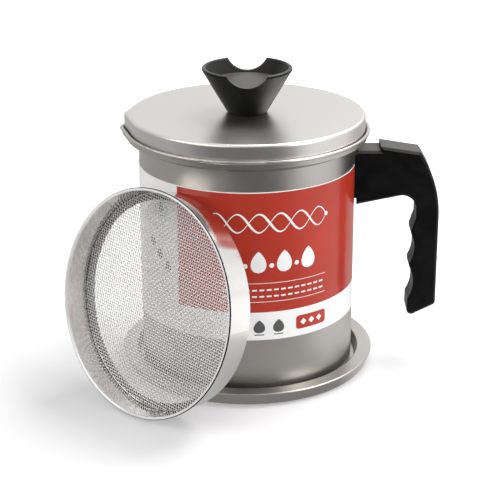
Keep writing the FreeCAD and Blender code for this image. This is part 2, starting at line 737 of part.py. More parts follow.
knob_screw_head = "lid_under - washer_height - screw_head_height"
handle_screw_head = "screw_seat_z - screw_head_height"
parts = [
    make_tray(),
    make_pot(),
    make_label(),
    make_bracket(),
    make_handle(),
    make_screw("handle_screw", handle_screw_head,
               "tongue_low + tongue_height - screw_seat_z", "handle_screw_x"),
    make_lid(),
    make_knob(),
    make_insert(),
    make_screw("knob_screw", knob_screw_head, "washer_height + lid_wall + knob_screw_bite"),
    make_washer(),
    make_strainer_frame(),
    make_mesh(),
]
doc.recompute()
for leaning in ("strainer_frame", "strainer_mesh"):
    doc.getObject(leaning).Placement = strainer_place()
doc.recompute()

for item in doc.Objects:
    if "Invalid" in item.State or "Error" in item.State:
        raise RuntimeError("%s failed: %s" % (item.Name, item.State))
for part in parts:
    if part.Shape.isNull() or not part.Shape.isValid():
        raise RuntimeError(part.Label + " has no valid shape")
    if len(part.Shape.Solids) != 1:
        raise RuntimeError(part.Label + " is not one solid")

os.makedirs("parts", exist_ok=True)
for part in parts:
    part.Shape.exportStep("parts/%s.step" % part.Label)
    box = part.Shape.BoundBox
    print("%-16s x %7.2f %7.2f  y %7.2f %7.2f  z %7.2f %7.2f  volume %9.1f" % (
        part.Label, box.XMin, box.XMax, box.YMin, box.YMax, box.ZMin, box.ZMax,
        part.Shape.Volume))
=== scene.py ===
import math

import bpy
import numpy as np
from bpy.props import FloatProperty, FloatVectorProperty, PointerProperty
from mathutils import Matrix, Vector


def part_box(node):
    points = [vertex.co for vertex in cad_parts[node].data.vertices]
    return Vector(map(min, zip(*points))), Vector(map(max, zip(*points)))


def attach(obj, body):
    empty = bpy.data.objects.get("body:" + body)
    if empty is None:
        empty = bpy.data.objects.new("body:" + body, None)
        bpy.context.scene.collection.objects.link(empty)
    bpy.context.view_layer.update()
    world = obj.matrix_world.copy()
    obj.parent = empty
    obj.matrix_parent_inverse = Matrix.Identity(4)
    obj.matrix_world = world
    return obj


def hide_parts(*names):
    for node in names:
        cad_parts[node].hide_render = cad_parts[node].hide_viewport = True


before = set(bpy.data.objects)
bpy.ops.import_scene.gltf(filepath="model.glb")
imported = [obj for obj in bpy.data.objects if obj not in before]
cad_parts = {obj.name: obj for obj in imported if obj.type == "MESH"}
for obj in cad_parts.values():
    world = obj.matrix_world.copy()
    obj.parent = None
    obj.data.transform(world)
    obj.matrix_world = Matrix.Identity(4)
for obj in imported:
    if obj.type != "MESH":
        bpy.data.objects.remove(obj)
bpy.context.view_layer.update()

bl_info = {
    "name": "Oil pot with strainer",
    "version": (1, 0, 0),
    "blender": (4, 5, 0),
    "location": "View3D > Sidebar > Oil pot",
    "description": "Dresses a steel oil pot, its lid, handle, tray, label and strainer",
    "category": "Object",
}

WHITE = (1.0, 1.0, 1.0, 1.0)

# Sizes in metres; a camera's sensor is in millimetres

SENSOR_WIDTH = 36.0

MM = 0.001
FLOOR_REACH = 3.0
FLOOR_LEVEL = -0.0002
BEAD_HEIGHT = 0.0016
BEAD_EDGE = 0.0001
BEAD_ROUND = 0.0007
SHELF_EDGE = 0.0003
TOP_LINE = 0.0005
FILM_DEPTH = 0.0003
MOULDING_DEPTH = 0.00002

# Steps along a printed wave

WAVE_STEPS = 160

# The painted shadow line round the strainer's rim, where the sheet curls under: its lift, its slopes on
# the bead and its steps

CURL_LIFT = 0.00003
CURL_LOW = math.radians(-50)
CURL_HIGH = math.radians(60)
CURL_TURNS = 240
CURL_ROWS = 8

# Stretch of a grain that runs round the pot, where z is up

ROUND_GRAIN = (1.0, 1.0, 0.2)
LID_GRAIN = (1.0, 1.0, 0.15)
TURNED_GRAIN = (1.0, 1.0, 6.0)
EVEN_GRAIN = (1.0, 1.0, 1.0)


def colour(name, words, value):
    """A colour that a user may change."""
    return FloatVectorProperty(
        name=name, description=words, subtype="COLOR", size=3, min=0.0, max=1.0, default=value)


def length(name, words, value):
    """A length in metres that a user may change."""
    return FloatProperty(name=name, description=words, unit="LENGTH", default=value)


def angle(name, words, degrees):
    """An angle that a user may change, with its default in degrees."""
    return FloatProperty(
        name=name, description=words, subtype="ANGLE", default=math.radians(degrees))


def share(name, words, value):
    """A share from 0 to 1 that a user may change."""
    return FloatProperty(
        name=name, description=words, subtype="FACTOR", min=0.0, max=1.0, default=value)


class CameraSettings(bpy.types.PropertyGroup):
    place: FloatVectorProperty(
        name="Place", description="Where the camera stands", subtype="XYZ", unit="LENGTH",
        size=3, default=(0.00155, -0.8017, 0.3652))
    tilt: angle("Tilt", "Angle of the view from straight down", 69.30)
    lens: FloatProperty(name="Lens", description="Focal length", default=110.17)


class StageSettings(bpy.types.PropertyGroup):
    floor: colour("Floor", "Colour of the floor", (0.80, 0.80, 0.81))
    floor_glow: share("Floor glow", "Light that the floor shows to the camera", 0.12)
    world: FloatProperty(name="World", description="Strength of the surrounding light", default=0.42)
    key: FloatProperty(name="Key", description="Power of the key light", unit="POWER", default=6.0)
    fill: FloatProperty(name="Fill", description="Power of the fill", unit="POWER", default=5.0)
    top: FloatProperty(name="Top", description="Power of the top light", unit="POWER", default=13.0)


class SteelSettings(bpy.types.PropertyGroup):
    pot: colour("Pot", "Satin steel of the pot and tray", (0.46, 0.44, 0.415))
    lid: colour("Lid", "Fine satin steel of the lid", (0.64, 0.622, 0.602))
    ring: colour("Ring", "Polished steel of the strainer", (0.88, 0.86, 0.84))
    # Painted highlight: the bead's bright, more matte tone stands in for the light its round top
    # catches
    bead: colour("Bead", "Bright rolled bead of the strainer's rim", (0.97, 0.97, 0.965))
    mesh: colour("Mesh", "Woven wire", (0.88, 0.87, 0.855))
    inner: colour("Inner", "Zinc-plated steel of screws and washer", (0.55, 0.55, 0.54))
    # Painted shade: the dark tone laid on the shelf under the strainer's mesh
    shelf: colour("Shelf", "Shaded steel under the strainer's mesh", (0.05, 0.047, 0.044))
    bracket: colour("Bracket", "Blackened steel of the handle's bracket", (0.030, 0.029, 0.028))
    brass: colour("Brass", "Turned brass of the insert", (0.72, 0.52, 0.22))
    pot_roughness: share("Pot roughness", "Roughness of the satin pot", 0.34)
    lid_roughness: share("Lid roughness", "Roughness of the satin lid", 0.31)
    ring_roughness: share("Ring roughness", "Roughness of the polished ring", 0.11)


class PhenolicSettings(bpy.types.PropertyGroup):
    body: colour("Body", "Black moulded phenolic", (0.0030, 0.0030, 0.0030))
    worn: colour("Worn", "Phenolic where it is rubbed", (0.016, 0.0155, 0.015))
    # Painted light: a lighter tone on faces that look up, standing in for light from above
    top_painted_light: colour("Dusty", "Phenolic where dust settles on faces that look up", (0.085, 0.082, 0.080))
    roughness: share("Roughness", "Roughness of the moulding", 0.38)


class LabelSettings(bpy.types.PropertyGroup):
    field: colour("Field", "Red field of the label", (0.47, 0.034, 0.015))
    paper: colour("Paper", "White part of the label", (0.93, 0.93, 0.92))
    ink: colour("Ink", "Dark grey print", (0.10, 0.10, 0.10))
    leaf: colour("Leaf", "Green print", (0.10, 0.30, 0.17))
    field_start: angle("Field start", "Where the red field starts, from +X", -128.0)
    field_end: angle("Field end", "Where the red field ends, from +X", -9.0)
    band_top: length("Band top", "Height of the white band's upper edge", 0.0492)
    thickness: length("Print thickness", "Height of the print above the sleeve", 0.00006)


class StrainerSettings(bpy.types.PropertyGroup):
    heading: angle("Heading", "Direction that the strainer faces, from +X", -132.1)
    tilt: angle("Tilt", "How far the strainer leans back", 11.8)
    mesh_pitch: length("Mesh pitch", "Distance between wires", 0.00150)
    wire_radius: length("Wire radius", "Radius of a wire", 0.00024)
    wave: length("Wave", "How far a wire rises over its neighbour", 0.00021)
    weave_turn: angle("Weave turn", "Turn of the weave in its plane", -4.0)


SETTINGS = {
    "oil_pot_camera": CameraSettings,
    "oil_pot_stage": StageSettings,
    "oil_pot_steel": SteelSettings,
    "oil_pot_phenolic": PhenolicSettings,
    "oil_pot_label": LabelSettings,
    "oil_pot_strainer": StrainerSettings,
}


# Nodes

def add(tree, kind, inputs=None, **values):
    """A node with its attributes and its unlinked inputs set."""
    made = tree.nodes.new(kind)
    for name, value in values.items():
        setattr(made, name, value)
    for name, value in (inputs or {}).items():
        socket = made.inputs[name]
        if isinstance(value, bpy.types.NodeSocket):
            tree.links.new(value, socket)
        else:
            socket.default_value = value
    return made


def math_node(tree, operation, first, second=0.0, third=0.0):
    """The result of one sum; each value may be a socket or a number."""
    made = add(tree, "ShaderNodeMath", {0: first, 1: second, 2: third}, operation=operation)
    return made.outputs[0]


def blend(tree, factor, first, second):
    """Mix two colours; each may be a socket or a colour."""
    made = tree.nodes.new("ShaderNodeMix")
    made.data_type = "RGBA"
    for socket, value in zip((made.inputs[0], made.inputs[6], made.inputs[7]), (factor, first, second)):
        if isinstance(value, bpy.types.NodeSocket):
            tree.links.new(value, socket)
        elif socket.type == "RGBA":
            socket.default_value = (*value[:3], 1.0)
        else:
            socket.default_value = value
    return made.outputs[2]


def ramp(tree, factor, low, high, start=0.0, end=1.0):
    """Map a value from one range to another, clamped."""
    made = add(tree, "ShaderNodeMapRange", {
        "Value": factor, "From Min": start, "From Max": end, "To Min": low, "To Max": high})
    return made.outputs["Result"]


def shader_group(name, inputs, outputs):
    """An empty node group with float and vector sockets, made once."""
    tree = bpy.data.node_groups.new(name, "ShaderNodeTree")
    for socket, kind, value in inputs:
        made = tree.interface.new_socket(name=socket, in_out="INPUT", socket_type=kind)
        if value is not None:
            made.default_value = value
    for socket, kind in outputs:
        tree.interface.new_socket(name=socket, in_out="OUTPUT", socket_type=kind)
    return tree, tree.nodes.new("NodeGroupInput"), tree.nodes.new("NodeGroupOutput")


def grain_group():
    """Fine streaks and cloudy patches of a satin metal surface."""
    tree, source, sink = shader_group("MetalGrain", (
        ("Vector", "NodeSocketVector", None),
        ("Stretch", "NodeSocketVector", (1.0, 1.0, 1.0)),
        ("Streak Scale", "NodeSocketFloat", 900.0),
        ("Cloud Scale", "NodeSocketFloat", 22.0),
    ), (
        ("Streaks", "NodeSocketFloat"),
        ("Clouds", "NodeSocketFloat"),
    ))
    stretched = add(tree, "ShaderNodeVectorMath", {
        0: source.outputs["Vector"], 1: source.outputs["Stretch"]}, operation="MULTIPLY")
    streaks = add(tree, "ShaderNodeTexNoise", {
        "Vector": stretched.outputs[0], "Scale": source.outputs["Streak Scale"],
        "Detail": 3.0, "Roughness": 0.6})
    clouds = add(tree, "ShaderNodeTexNoise", {
        "Vector": source.outputs["Vector"], "Scale": source.outputs["Cloud Scale"],
        "Detail": 4.0, "Roughness": 0.5})
    tree.links.new(streaks.outputs["Fac"], sink.inputs["Streaks"])
    tree.links.new(clouds.outputs["Fac"], sink.inputs["Clouds"])
    return tree


def smudge_group():
    """Soft wiped patches and small specks that a handled surface carries."""
    tree, source, sink = shader_group("Smudges", (
        ("Vector", "NodeSocketVector", None),
        ("Scale", "NodeSocketFloat", 40.0),
        ("Speck Scale", "NodeSocketFloat", 700.0),
    ), (
        ("Wipes", "NodeSocketFloat"),
        ("Specks", "NodeSocketFloat"),
    ))
    bent = add(tree, "ShaderNodeTexNoise", {
        "Vector": source.outputs["Vector"], "Scale": source.outputs["Scale"],
        "Detail": 3.0, "Roughness": 0.55, "Distortion": 1.2})
    specks = add(tree, "ShaderNodeTexNoise", {
        "Vector": source.outputs["Vector"], "Scale": source.outputs["Speck Scale"], "Detail": 1.0})
    tree.links.new(ramp(tree, bent.outputs["Fac"], 0.0, 1.0, 0.38, 0.68), sink.inputs["Wipes"])
    tree.links.new(ramp(tree, specks.outputs["Fac"], 0.0, 1.0, 0.62, 0.74), sink.inputs["Specks"])
    return tree


def room_group():
    """How bright a mirror sees the studio towards a place: dark in front, bright to the right."""
    tree, source, sink = shader_group("StudioRoom", (
        ("Vector", "NodeSocketVector", None),
        ("Front", "NodeSocketFloat", 0.2),
        ("Left", "NodeSocketFloat", 0.55),
        ("Right", "NodeSocketFloat", 1.1),
        ("Back", "NodeSocketFloat", 0.95),
    ), (
        ("Shade", "NodeSocketFloat"),
    ))
    split = add(tree, "ShaderNodeSeparateXYZ", {0: source.outputs["Vector"]})
    level = add(tree, "ShaderNodeCombineXYZ", {0: split.outputs["X"], 1: split.outputs["Y"]})
    unit = add(tree, "ShaderNodeVectorMath", {0: level.outputs[0]}, operation="NORMALIZE")
    way = add(tree, "ShaderNodeSeparateXYZ", {0: unit.outputs[0]})

    def towards(socket, start, end, name, value):
        part = add(tree, "ShaderNodeMapRange", {
            "Value": socket, "From Min": start, "From Max": end, "To Min": 0.0, "To Max": 1.0},
            interpolation_type="SMOOTHSTEP")
        gap = math_node(tree, "SUBTRACT", source.outputs[name], value)
        return math_node(tree, "MULTIPLY_ADD", part.outputs["Result"], gap, value)

    shade = towards(way.outputs["X"], 0.55, 1.0, "Right", source.outputs["Front"])
    shade = towards(way.outputs["X"], -0.5, -1.0, "Left", shade)
    shade = towards(way.outputs["Y"], 0.1, 0.8, "Back", shade)
    tree.links.new(shade, sink.inputs["Shade"])
    return tree


def use_group(tree, name, vector, **values):
    """Place a shared node group, made on first use; returns its outputs."""
    makers = {"MetalGrain": grain_group, "Smudges": smudge_group, "StudioRoom": room_group}
    group = bpy.data.node_groups.get(name) or makers[name]()
    made = tree.nodes.new("ShaderNodeGroup")
    made.node_tree = group
    tree.links.new(vector, made.inputs["Vector"])
    for socket, value in values.items():
        made.inputs[socket.replace("_", " ")].default_value = value
    return made.outputs


def new_material(name, metallic=0.0):
    """A material with a Principled shader; returns its tree, shader and object coordinates."""
    made = bpy.data.materials.new(name)
    made.use_nodes = True
    tree = made.node_tree
    tree.nodes.clear()
    output = tree.nodes.new("ShaderNodeOutputMaterial")
    shader = tree.nodes.new("ShaderNodeBsdfPrincipled")
    shader.inputs["Metallic"].default_value = metallic
    tree.links.new(shader.outputs[0], output.inputs["Surface"])
    coordinates = tree.nodes.new("ShaderNodeTexCoord").outputs["Object"]
    return made, tree, shader, coordinates


def bump(tree, shader, height, distance, strength=1.0):
    """Raise a surface by a mask, as deep as distance says."""
    made = add(tree, "ShaderNodeBump", {
        "Height": height, "Distance": distance, "Strength": strength})
    tree.links.new(made.outputs["Normal"], shader.inputs["Normal"])


def tint(tree, shader, mask, tone):
    """Lay another tone over a shader's colour where a mask is 1."""
    under = shader.inputs["Base Color"].links[0].from_socket
    tree.links.new(blend(tree, mask, under, tone), shader.inputs["Base Color"])


def glossy_film(tree, shader, spot):
    """The clear, slightly wavy film over the label's print."""
    shader.inputs["Specular IOR Level"].default_value = 0.25
    shader.inputs["Coat Weight"].default_value = 0.3
    shader.inputs["Coat Roughness"].default_value = 0.10
    film = add(tree, "ShaderNodeTexNoise", {"Vector": spot, "Scale": 45.0, "Detail": 0.0})
    bump(tree, shader, film.outputs["Fac"], FILM_DEPTH, 0.5)


def paint_bead_highlight(material, tone, normal, level):
    """Make the metal above a level along the strainer's axis brighter and more matte: a painted
    highlight on the rolled bead.
    """
    tree = material.node_tree
    shader = tree.nodes["Principled BSDF"]
    spot = tree.nodes["Texture Coordinate"].outputs["Object"]
    height = add(tree, "ShaderNodeVectorMath", {0: spot, 1: tuple(normal)}, operation="DOT_PRODUCT")
    bead = ramp(tree, height.outputs["Value"], 0.0, 1.0, level - BEAD_EDGE, level + BEAD_EDGE)
    tint(tree, shader, bead, tone)
    tree.links.new(ramp(tree, bead, 1.0, 0.45), shader.inputs["Metallic"])


def paint_shelf_shade(material, tone, centre, normal, reach):
    """Darken the metal nearer to the strainer's axis than its mesh reaches: painted shade on the mesh's
    shelf.
    """
    tree = material.node_tree
    shader = tree.nodes["Principled BSDF"]
    spot = tree.nodes["Texture Coordinate"].outputs["Object"]
    arm = add(tree, "ShaderNodeVectorMath", {0: spot, 1: tuple(centre)}, operation="SUBTRACT")
    turned = add(tree, "ShaderNodeVectorMath", {
        0: arm.outputs[0], 1: tuple(normal)}, operation="CROSS_PRODUCT")
    radius = add(tree, "ShaderNodeVectorMath", {0: turned.outputs[0]}, operation="LENGTH")
    painted_shelf_shade_mask = ramp(tree, radius.outputs["Value"], 1.0, 0.0, reach, reach + SHELF_EDGE)
    tint(tree, shader, painted_shelf_shade_mask, tone)


def steel(name, tone, roughness, stretch=EVEN_GRAIN, streak_scale=900.0, streak_depth=0.000004,
          cloudiness=0.06, streakiness=0.10, wear=0.12):
    """Satin or polished metal with streaks, cloudy tone and wiped patches."""
    made, tree, shader, spot = new_material(name, 1.0)
    grain = use_group(tree, "MetalGrain", spot, Stretch=stretch, Streak_Scale=streak_scale)
    wiped = use_group(tree, "Smudges", spot)
    dark = tuple(part * (1.0 - cloudiness) for part in tone)
    light = tuple(part * (1.0 + cloudiness) for part in tone)
    clouds = ramp(tree, grain["Clouds"], 0.0, 1.0, 0.35, 0.65)
    tree.links.new(blend(tree, clouds, dark, light), shader.inputs["Base Color"])
    smooth = roughness * (1 - streakiness)
    rough = roughness * (1 + streakiness)
    streaks = ramp(tree, grain["Streaks"], smooth, rough, 0.3, 0.7)
    patchy = math_node(tree, "MULTIPLY_ADD", wiped["Wipes"], roughness * wear, streaks)
    tree.links.new(patchy, shader.inputs["Roughness"])
    bump(tree, shader, grain["Streaks"], streak_depth)
    return made


def phenolic():
    """Black moulded phenolic: faint moulding texture, painted light on faces that look up, and rubbed
    patches.
    """
    look = bpy.context.scene.oil_pot_phenolic
    made, tree, shader, spot = new_material("black_phenolic")
    wiped = use_group(tree, "Smudges", spot, Scale=55.0, Speck_Scale=1500.0)
    grain = use_group(tree, "MetalGrain", spot, Streak_Scale=1900.0, Cloud_Scale=60.0)
    rubbed = math_node(tree, "MULTIPLY", wiped["Wipes"], 0.30)
    rubbed = math_node(tree, "MULTIPLY_ADD", wiped["Specks"], 0.18, rubbed)
    facing = add(tree, "ShaderNodeNewGeometry").outputs["Normal"]
    upward = add(tree, "ShaderNodeSeparateXYZ", {0: facing}).outputs["Z"]
    # Painted light on faces that look up, broken into patches
    painted_top_light_mask = ramp(tree, upward, 0.0, 0.9, 0.4, 0.95)
    patches = ramp(tree, grain["Clouds"], 0.7, 1.0, 0.3, 0.6)
    painted_top_light_mask = math_node(tree, "MULTIPLY", painted_top_light_mask, patches)
    tone = blend(tree, rubbed, look.body, look.worn)
    tree.links.new(blend(tree, painted_top_light_mask, tone, look.top_painted_light), shader.inputs["Base Color"])
    rough = ramp(tree, grain["Clouds"], look.roughness * 0.86, look.roughness * 1.18, 0.35, 0.65)
    tree.links.new(rough, shader.inputs["Roughness"])
    shader.inputs["Specular IOR Level"].default_value = 0.11
    bump(tree, shader, grain["Streaks"], MOULDING_DEPTH, 0.6)
    return made


def print_colour(name, tone):
    """Glossy print on the label's film."""
    made, tree, shader, spot = new_material(name)
    grain = use_group(tree, "MetalGrain", spot, Streak_Scale=1400.0, Cloud_Scale=30.0)
    wiped = use_group(tree, "Smudges", spot, Scale=30.0)
    dark = tuple(part * 0.93 for part in tone)
    clouds = ramp(tree, grain["Clouds"], 0.0, 1.0, 0.35, 0.65)
    tree.links.new(blend(tree, clouds, dark, tone), shader.inputs["Base Color"])
    tree.links.new(ramp(tree, wiped["Wipes"], 0.28, 0.32), shader.inputs["Roughness"])
    glossy_film(tree, shader, spot)
    return made


def sleeve_material():
    """The label: a red field on white, with a pale line along its top edge."""
    look = bpy.context.scene.oil_pot_label
    made, tree, shader, spot = new_material("label_sleeve_print")
    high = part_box("label_sleeve")[1].z
    split = add(tree, "ShaderNodeSeparateXYZ", {0: spot})
    turn = math_node(tree, "ARCTAN2", split.outputs["Y"], split.outputs["X"])
    after = math_node(tree, "GREATER_THAN", turn, look.field_start)
    before = math_node(tree, "LESS_THAN", turn, look.field_end)
    above = math_node(tree, "GREATER_THAN", split.outputs["Z"], look.band_top)
    below = math_node(tree, "LESS_THAN", split.outputs["Z"], high - TOP_LINE)
    across = math_node(tree, "MULTIPLY", after, before)
    upright = math_node(tree, "MULTIPLY", above, below)
    field = math_node(tree, "MULTIPLY", across, upright)
    grain = use_group(tree, "MetalGrain", spot, Streak_Scale=1400.0, Cloud_Scale=26.0)
    wiped = use_group(tree, "Smudges", spot, Scale=24.0)
    clouds = ramp(tree, grain["Clouds"], 0.0, 1.0, 0.35, 0.65)
    red = blend(tree, clouds, tuple(part * 0.88 for part in look.field), tuple(look.field))
    white = blend(tree, clouds, tuple(part * 0.97 for part in look.paper), tuple(look.paper))
    tree.links.new(blend(tree, field, white, red), shader.inputs["Base Color"])
    tree.links.new(ramp(tree, wiped["Wipes"], 0.28, 0.33), shader.inputs["Roughness"])
    glossy_film(tree, shader, spot)
    return made


def dress(node, material):
    """Give a node of the frame its finish."""
    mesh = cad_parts[node].data
    mesh.materials.clear()
    mesh.materials.append(material)


def new_piece(name, corners, faces, body, material):
    """A smooth mesh that rides on a body and takes the finish it is given."""
    if not faces:
        raise ValueError(name + " has no faces")
    mesh = bpy.data.meshes.new(name)
    mesh.from_pydata([tuple(corner) for corner in corners], [], faces)
    mesh.validate()
    mesh.polygons.foreach_set("use_smooth", [True] * len(mesh.polygons))
    mesh.materials.append(material)
    made = bpy.data.objects.new(name, mesh)
    bpy.context.scene.collection.objects.link(made)
    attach(made, body)
    return made


# Stage

class OILPOT_OT_camera(bpy.types.Operator):
    """Stand the camera where the photograph was taken from"""
    bl_idname = "oilpot.camera"
    bl_label = "Camera"

    def execute(self, context):
        view = context.scene.oil_pot_camera
        made = bpy.data.cameras.new("camera")
        made.lens = view.lens
        made.sensor_width = SENSOR_WIDTH
        holder = bpy.data.objects.new("camera", made)
        holder.location = view.place
        holder.rotation_euler = (view.tilt, 0.0, 0.0)
        context.scene.collection.objects.link(holder)
        context.scene.camera = holder
        return {"FINISHED"}


def soft_light(name, power, place, target, width, height):
    """A wide lamp at a place, turned to a target."""
    lamp = bpy.data.lights.new(name, "AREA")
    lamp.shape = "RECTANGLE"
    lamp.size = width
    lamp.size_y = height
    lamp.energy = power
    holder = bpy.data.objects.new(name, lamp)
    holder.location = place
    aim = Vector(target) - Vector(place)
    holder.rotation_euler = aim.to_track_quat("-Z", "Y").to_euler()
    bpy.context.scene.collection.objects.link(holder)


class OILPOT_OT_stage(bpy.types.Operator):
    """Lay the pale floor and set the soft studio light"""
    bl_idname = "oilpot.stage"
    bl_label = "Stage"

    def execute(self, context):
        look = context.scene.oil_pot_stage
        scene = context.scene
        scene.view_settings.view_transform = "Standard"
        self.lay_floor(look)
        self.set_world(scene, look)
        soft_light("key_light", look.key, (-0.75, -0.55, 0.85), (0, 0, 0.07), 1.2, 1.1)
        soft_light("fill_light", look.fill, (0.95, -0.65, 0.45), (0, 0, 0.08), 0.5, 0.9)
        soft_light("top_light", look.top, (0.45, 0.34, 0.95), (0, 0, 0.05), 0.8, 0.6)
        return {"FINISHED"}

    def lay_floor(self, look):
        """A wide flat floor just under the tray."""
        sides = ((-1, -1), (1, -1), (1, 1), (-1, 1))
        corners = [(x * FLOOR_REACH, y * FLOOR_REACH, FLOOR_LEVEL) for x, y in sides]
        mesh = bpy.data.meshes.new("floor")
        mesh.from_pydata(corners, [], [(0, 1, 2, 3)])
        mesh.materials.append(self.floor_material(look))
        floor = bpy.data.objects.new("floor", mesh)
        bpy.context.scene.collection.objects.link(floor)

    def floor_material(self, look):
        """A matte pale floor that fades to white, with a graded shade for reflections."""
        made, tree, shader, spot = new_material("studio_floor")
        cloud = add(tree, "ShaderNodeTexNoise", {"Vector": spot, "Scale": 3.0, "Detail": 2.0})
        pale = tuple(part * 0.99 for part in look.floor)
        tone = blend(tree, cloud.outputs["Fac"], pale, look.floor)
        tree.links.new(tone, shader.inputs["Base Color"])
        shader.inputs["Roughness"].default_value = 0.75
        shader.inputs["Specular IOR Level"].default_value = 0.15
        path = tree.nodes.new("ShaderNodeLightPath")
        seen = math_node(tree, "MAXIMUM", path.outputs["Is Camera Ray"],
                         path.outputs["Is Transmission Ray"])
        away = add(tree, "ShaderNodeVectorMath", {0: spot}, operation="LENGTH").outputs["Value"]
        far = ramp(tree, away, look.floor_glow, 1.0, 0.22, 0.8)
        glow = math_node(tree, "MULTIPLY", seen, far)
        shader.inputs["Emission Color"].default_value = WHITE
        tree.links.new(glow, shader.inputs["Emission Strength"])
        room = use_group(tree, "StudioRoom", spot, Back=0.6)["Shade"]
        # In reflections the floor near the pot shows painted light, and right beside the tray painted
        # shadow
        near = ramp(tree, away, 0.72, 0.0, 0.10, 0.27)
        shaded = ramp(tree, away, 0.75, 1.0, 0.07, 0.12)
        near = math_node(tree, "MULTIPLY", near, shaded)
        bright = math_node(tree, "MAXIMUM", room, near)
        bright = math_node(tree, "MULTIPLY", bright, shaded)
        mirrored = add(tree, "ShaderNodeEmission", {"Color": WHITE, "Strength": bright})
        both = add(tree, "ShaderNodeMixShader", {
            0: path.outputs["Is Glossy Ray"], 1: shader.outputs[0], 2: mirrored.outputs[0]})
        tree.links.new(both.outputs[0], tree.nodes["Material Output"].inputs["Surface"])
        return made

    def set_world(self, scene, look):
        """A pale room: white for the camera, graded for reflections."""
        world = bpy.data.worlds.new("studio")
        scene.world = world
        world.use_nodes = True
        tree = world.node_tree
        tree.nodes.clear()
        output = tree.nodes.new("ShaderNodeOutputWorld")
        path = tree.nodes.new("ShaderNodeLightPath")
        spot = tree.nodes.new("ShaderNodeTexCoord").outputs["Generated"]
        height = add(tree, "ShaderNodeSeparateXYZ", {0: spot}).outputs["Z"]
        around = use_group(tree, "StudioRoom", spot)["Shade"]
        above = ramp(tree, height, 0.0, 1.0, 0.45, 0.95)
        gap = math_node(tree, "SUBTRACT", 0.9, around)
        room = math_node(tree, "MULTIPLY_ADD", above, gap, around)
        mirrored = add(tree, "ShaderNodeBackground", {"Color": WHITE, "Strength": room})
        plain = add(tree, "ShaderNodeBackground", {"Color": WHITE, "Strength": look.world})
        white = add(tree, "ShaderNodeBackground", {"Color": WHITE, "Strength": 1.0})
        bright = math_node(tree, "MAXIMUM", path.outputs["Is Glossy Ray"],
                           path.outputs["Is Transmission Ray"])
        first = add(tree, "ShaderNodeMixShader", {
            0: bright, 1: plain.outputs[0], 2: mirrored.outputs[0]})
        second = add(tree, "ShaderNodeMixShader", {
            0: path.outputs["Is Camera Ray"], 1: first.outputs[0], 2: white.outputs[0]})
        tree.links.new(second.outputs[0], output.inputs["Surface"])


# Pieces

class OILPOT_OT_pot(bpy.types.Operator):
    """Finish the pot and its tray in satin steel"""
    bl_idname = "oilpot.pot"
    bl_label = "Pot and tray"

    def execute(self, context):
        look = context.scene.oil_pot_steel
        dress("pot_body", steel(
            "satin_pot_steel", look.pot, look.pot_roughness,
            stretch=ROUND_GRAIN, streak_scale=1500.0))
        dress("drip_tray", steel(
            "satin_tray_steel", look.pot, look.pot_roughness * 0.9,
            stretch=ROUND_GRAIN, streak_scale=1500.0))
        return {"FINISHED"}


class OILPOT_OT_lid(bpy.types.Operator):
    """Finish the lid in fine satin steel, and the screws, washer, bracket and insert"""
    bl_idname = "oilpot.lid"
    bl_label = "Lid"

    def execute(self, context):
        look = context.scene.oil_pot_steel
        dress("lid_cover", steel(
            "satin_lid_steel", look.lid, look.lid_roughness,
            stretch=LID_GRAIN, streak_scale=1700.0, streak_depth=0.0000008,
            cloudiness=0.01, streakiness=0.04, wear=0.03))
        plated = steel("zinc_plated_steel", look.inner, 0.3, streak_scale=1200.0)
        for node in ("knob_screw", "knob_washer", "handle_screw"):
            dress(node, plated)
        dress("handle_bracket", steel("blackened_steel", look.bracket, 0.42, streak_scale=1300.0))
        dress("knob_insert", steel("turned_brass", look.brass, 0.28, stretch=TURNED_GRAIN))
        return {"FINISHED"}


class OILPOT_OT_phenolic(bpy.types.Operator):
    """Finish the handle and the knob in black phenolic"""
    bl_idname = "oilpot.phenolic"
    bl_label = "Handle and knob"

    def execute(self, context):
        black = phenolic()
        for node in ("handle_grip", "lid_knob"):
            dress(node, black)
        return {"FINISHED"}


def print_height():
    """How far the print stands off the sleeve."""
    return bpy.context.scene.oil_pot_label.thickness


